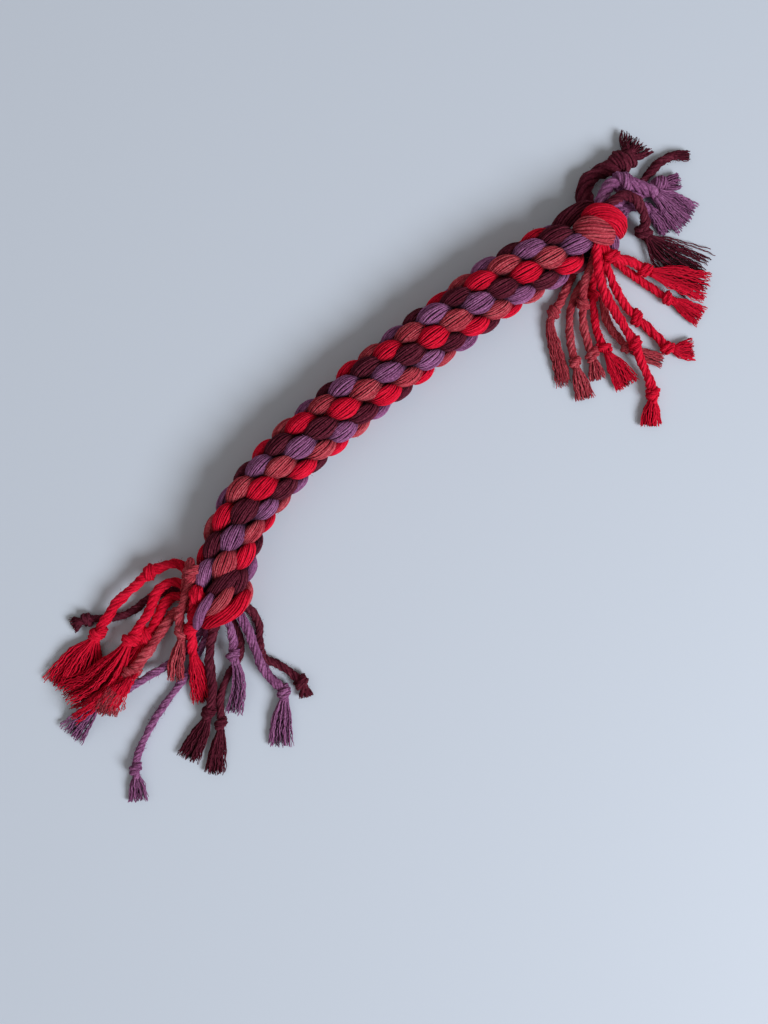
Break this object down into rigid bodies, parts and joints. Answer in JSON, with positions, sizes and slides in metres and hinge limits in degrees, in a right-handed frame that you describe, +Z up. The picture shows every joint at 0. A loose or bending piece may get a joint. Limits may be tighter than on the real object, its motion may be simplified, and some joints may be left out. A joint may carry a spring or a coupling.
{
  "type": "rope dog toy",
  "caption": "Curved dog tug toy of round-braided cotton cords in red, coral, purple and plum, with knotted, frayed tails at both ends.",
  "frame": {"origin": "middle of the toy's bounding box, on the surface that it lies on", "axes": "+X along the rope, from the end where the tails of the two groups of dyes lie spread wide to the end where the red and coral tails lie on one side and the purple and plum tails on the other; +Y is the outer side of the rope's bend; +Z is up"},
  "size_m": [0.4696, 0.1544, 0.0323],
  "materials": {
    "red_cotton": "matte dyed cotton cord, bright red",
    "coral_cotton": "matte dyed cotton cord, faded coral red",
    "purple_cotton": "matte dyed cotton cord, dusty purple",
    "plum_cotton": "matte dyed cotton cord, dark plum"
  },
  "bodies": {
    "root": {"braid_cord_red_1": "red_cotton", "braid_cord_plum_1": "plum_cotton", "braid_cord_coral_1": "coral_cotton", "braid_cord_red_2": "red_cotton", "braid_cord_purple_1": "purple_cotton", "braid_cord_coral_2": "coral_cotton", "braid_cord_plum_2": "plum_cotton", "braid_cord_purple_2": "purple_cotton", "upper_bight_red": "red_cotton", "upper_bight_coral": "coral_cotton", "upper_bight_purple": "purple_cotton", "upper_bight_plum": "plum_cotton", "lower_bight_red": "red_cotton", "lower_bight_coral": "coral_cotton", "lower_bight_plum": "plum_cotton", "lower_bight_purple": "purple_cotton", "upper_coral_tail_1": "coral_cotton", "upper_coral_tail_2": "coral_cotton", "upper_coral_tail_3": "coral_cotton", "upper_red_tail_1": "red_cotton", "upper_coral_tail_4": "coral_cotton", "upper_red_tail_2": "red_cotton", "upper_red_tail_3": "red_cotton", "upper_red_tail_4": "red_cotton", "upper_red_tail_5": "red_cotton", "upper_plum_tail_1": "plum_cotton", "upper_plum_tail_2": "plum_cotton", "upper_purple_tail_1": "purple_cotton", "upper_purple_tail_2": "purple_cotton", "upper_purple_tail_3": "purple_cotton", "upper_plum_tail_3": "plum_cotton", "upper_purple_stub": "purple_cotton", "lower_coral_tail_1": "coral_cotton", "lower_red_tail_1": "red_cotton", "lower_red_tail_2": "red_cotton", "lower_red_tail_3": "red_cotton", "lower_red_tail_4": "red_cotton", "lower_coral_tail_2": "coral_cotton", "lower_plum_tail_1": "plum_cotton", "lower_purple_tail_1": "purple_cotton", "lower_purple_tail_2": "purple_cotton", "lower_plum_tail_2": "plum_cotton", "lower_plum_tail_3": "plum_cotton", "lower_purple_tail_3": "purple_cotton", "lower_purple_tail_4": "purple_cotton", "lower_plum_tail_4": "plum_cotton"}
  },
  "joints": []
}
